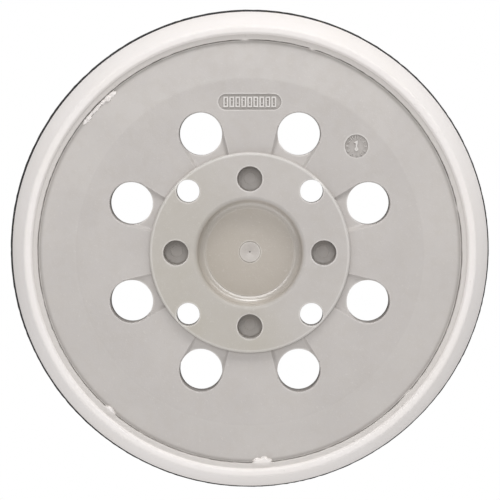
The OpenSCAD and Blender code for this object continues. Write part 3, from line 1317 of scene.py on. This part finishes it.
# The painted shade in tight corners is weaker in the recess outside the gate ring.
tight_shade_strength = recipe.math("MULTIPLY_ADD", past_gate, -0.22, 0.27)
recipe.give(shader.inputs["Base Color"], recipe.layered(
    nylon_grey,
    (wide, 0.55, nylon_pale),
    (cone_painted_light, 0.10, nylon_fibre_and_light),
    (on_hub, warmth, nylon_hub),
    (in_recess, recess_darkening, nylon_dark_warm),
    (floor_rim_highlight, 0.22, nylon_fibre_and_light),
    (on_gate, 0.62, nylon_gate),
    (pin_socket_light, 0.80, nylon_socket_light),
    (small, 0.10, nylon_dark_warm),
    (grain["Fleck"], 0.22, nylon_fibre_and_light),
    (loose, 0.06, darkening_brown),
    (in_marks, 0.24, darkening_brown),
    (tight, tight_shade_strength, darkening_brown),
    (lip_shade, 0.42, darkening_brown),
    (hub_edge_highlight, 0.32, nylon_wear_and_highlight),
    (edges, 0.65, nylon_wear_and_highlight),
))
print("layers of colour are on", carrier_nylon.name)

# %% [markdown]
# The recess is glossier, and the corners where the painted corner shade lies are duller. The relief
# adds three heights in metres: the grain of the mould, the cutter's rings on the fillet, and faint
# sinks.

# %% Give the carrier its gloss and its relief
gloss = recipe.math("MULTIPLY_ADD", small, 0.10, 0.44)
gloss = recipe.math("MULTIPLY_ADD", in_recess, -0.14, gloss)
recipe.give(shader.inputs["Roughness"], recipe.math("MULTIPLY_ADD", tight, 0.15, gloss))
recipe.give(shader.inputs["Coat Weight"], recipe.times(on_wall, 0.9))

cutter_pitch = 0.55
cutter_depth = 0.016
cutter = recipe.times(
    recipe.math("SINE", recipe.times(radius, 2 * math.pi / cutter_pitch)),
    recipe.ramp(radius, floor_r + 0.3, floor_r + 0.6),
    recipe.fade(radius, recess_r - 0.7, recess_r - 0.4),
    cutter_depth * MM,
)
grain_height = recipe.times(grain["Height"], 0.014 * MM)
blotch_height = recipe.times(small, 0.012 * MM)
raised(recipe, shader, recipe.math("ADD", recipe.math("ADD", grain_height, cutter), blotch_height))
dress(carrier_nylon, carrier)
print(carrier_nylon.name, "has", len(carrier_nylon.node_tree.nodes), "nodes")

# %% [markdown]
# ## Foam finish
# The cushion has a closed, silky skin where it touched the mould, off-white with a few pores and
# soft blotches. The thin lip over the plate's edge is laid greyer. Inside the dust holes and the
# screw wells the foam is cut, so there it is open-celled and yellower. The distance from the axis
# and the height tell the three apart. Painted shade darkens the foam's corners.

# %% Make the foam
foam_white = (0.880, 0.838, 0.818, 1.0)
foam_cream = (0.850, 0.800, 0.758, 1.0)
foam_cut = (0.700, 0.640, 0.520, 1.0)
# This dark colour serves the pores and the painted shade in corners.
foam_pore_and_shade = (0.420, 0.390, 0.350, 1.0)
foam_lip_grey = (0.600, 0.566, 0.538, 1.0)

foam_skin, recipe, place, shader = finish_for("foam_skin", 0.6, IOR=1.45)
spot = placed(recipe, radius_group, Place=place)
radius, level = spot["Radius mm"], spot["Height mm"]
wide = blotches(recipe, place, 60.0, 0.40, 0.72)
small = blotches(recipe, place, 520.0, 0.42, 0.68)
# Painted shade: tight darkens the foam's corners.
tight = grime(recipe, place, 0.0008, 0.3)
is_cut = recipe.fade(radius, flat_r, flat_r + 1.0)
# The lip over the plate's edge is laid greyer.
on_lip = recipe.times(
    recipe.fade(level, lip_z + 0.05, lip_z + 0.45),
    recipe.ramp(radius, seen_r - 0.2, seen_r + 0.1),
    recipe.fade(radius, crest_in_r - 0.5, crest_in_r + 0.1),
)


def pores(recipe, place, scale, size):
    """Small round pits: the middles of Voronoi cells, and each cell's own random number."""
    cells = recipe.node("ShaderNodeTexVoronoi", {"Vector": place, "Scale": scale})
    inside = recipe.fade(cells.outputs["Distance"], size * 0.5, size)
    chance = recipe.node("ShaderNodeSeparateXYZ", {0: cells.outputs["Color"]}).outputs["X"]
    return inside, chance


pit, chance = pores(recipe, place, 900.0, 0.22)
skin_pits = recipe.times(pit, recipe.ramp(chance, 0.93, 0.96))
cell, _ = pores(recipe, place, 1700.0, 0.55)
cut_cells = recipe.times(cell, is_cut)
recipe.give(shader.inputs["Base Color"], recipe.layered(
    foam_white,
    (wide, 0.35, foam_cream),
    (small, 0.12, foam_cream),
    (on_lip, 0.85, foam_lip_grey),
    (is_cut, 1.0, foam_cut),
    (skin_pits, 0.12, foam_pore_and_shade),
    (cut_cells, 0.55, foam_pore_and_shade),
    (tight, 0.26, foam_pore_and_shade),
))
silk = recipe.math("MULTIPLY_ADD", small, 0.14, 0.46)
recipe.give(shader.inputs["Roughness"], recipe.math("MULTIPLY_ADD", is_cut, 0.35, silk))
skin = recipe.times(small, 0.020 * MM)
skin = recipe.math("MULTIPLY_ADD", skin_pits, -0.05 * MM, skin)
raised(recipe, shader, recipe.math("MULTIPLY_ADD", cut_cells, -0.15 * MM, skin))
dress(foam_skin, foam)
print(foam_skin.name, "has", len(foam_skin.node_tree.nodes), "nodes")

# %% [markdown]
# ## Film, cloth and hook finishes
# The adhesive is a dull amber. The cloth is black and woven: two wave textures at right angles give
# the threads, and lint catches in it. The hooks are smooth black nylon, dustier towards their tips,
# where they hold the abrasive disc.

# %% Make the adhesive
glue_amber = (0.480, 0.390, 0.210, 1.0)
glue_brown = (0.300, 0.225, 0.110, 1.0)
glue, recipe, place, shader = finish_for("adhesive_amber", 0.4, IOR=1.48)
smear = blotches(recipe, place, 350.0, 0.35, 0.7)
recipe.give(shader.inputs["Base Color"], recipe.blend(smear, glue_amber, glue_brown))
recipe.give(shader.inputs["Roughness"], recipe.math("MULTIPLY_ADD", smear, 0.3, 0.3))
raised(recipe, shader, recipe.times(smear, 0.03 * MM))
dress(glue, film)
print(glue.name, "has", len(glue.node_tree.nodes), "nodes")

# %% Make the cloth and the hooks
thread_pitch = 0.75
cloth_black = (0.020, 0.020, 0.022, 1.0)
cloth_worn = (0.060, 0.058, 0.060, 1.0)
lint_grey = (0.300, 0.290, 0.275, 1.0)
weave, recipe, place, shader = finish_for("hook_cloth_weave", 0.85, Sheen_Weight=0.25)
across = recipe.node("ShaderNodeSeparateXYZ", {0: place})
threads = [
    recipe.math("SINE", recipe.times(across.outputs[axis], 2 * math.pi / (thread_pitch * MM)))
    for axis in ("X", "Y")
]
thread_height = recipe.math("MULTIPLY_ADD", recipe.times(*threads), 0.5, 0.5)
fluff = placed(recipe, grain_group, Place=place, Scale=5200.0)
lint = blotches(recipe, place, 900.0, 0.66, 0.74)
recipe.give(shader.inputs["Base Color"], recipe.layered(
    cloth_black,
    (thread_height, 0.6, cloth_worn),
    (fluff["Fleck"], 0.25, cloth_worn),
    (lint, 0.5, lint_grey),
))
recipe.give(shader.inputs["Roughness"], recipe.math("MULTIPLY_ADD", thread_height, -0.15, 0.92))
cloth_height = recipe.times(thread_height, 0.12 * MM)
raised(recipe, shader, recipe.math("MULTIPLY_ADD", fluff["Height"], 0.02 * MM, cloth_height))
dress(weave, cloth)

nylon_black = (0.016, 0.016, 0.018, 1.0)
nylon_dusty = (0.110, 0.104, 0.098, 1.0)
hook_nylon, recipe, place, shader = finish_for("hook_nylon", 0.38, IOR=1.53)
level = placed(recipe, radius_group, Place=place)["Height mm"]
patch = blotches(recipe, place, 240.0, 0.40, 0.65)
tip = recipe.fade(level, 0.1, 0.8)
dusty = recipe.times(tip, recipe.math("MULTIPLY_ADD", patch, 0.5, 0.15))
recipe.give(shader.inputs["Base Color"], recipe.blend(dusty, nylon_black, nylon_dusty))
recipe.give(shader.inputs["Roughness"], recipe.math("MULTIPLY_ADD", dusty, 0.5, 0.34))
dress(hook_nylon, *hooks)
print("finishes:", [material.name for material in bpy.data.materials if material.users])

# %% [markdown]
# ## Print the finished box
# The looks mustn't change the size, so the finished model's box is printed, to set beside the
# frame's box printed at the start.

# %% Print the finished box
visual_box = [list(corner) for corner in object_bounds()]
print("visual box in millimetres:", [[round(c / MM, 2) for c in corner] for corner in visual_box])
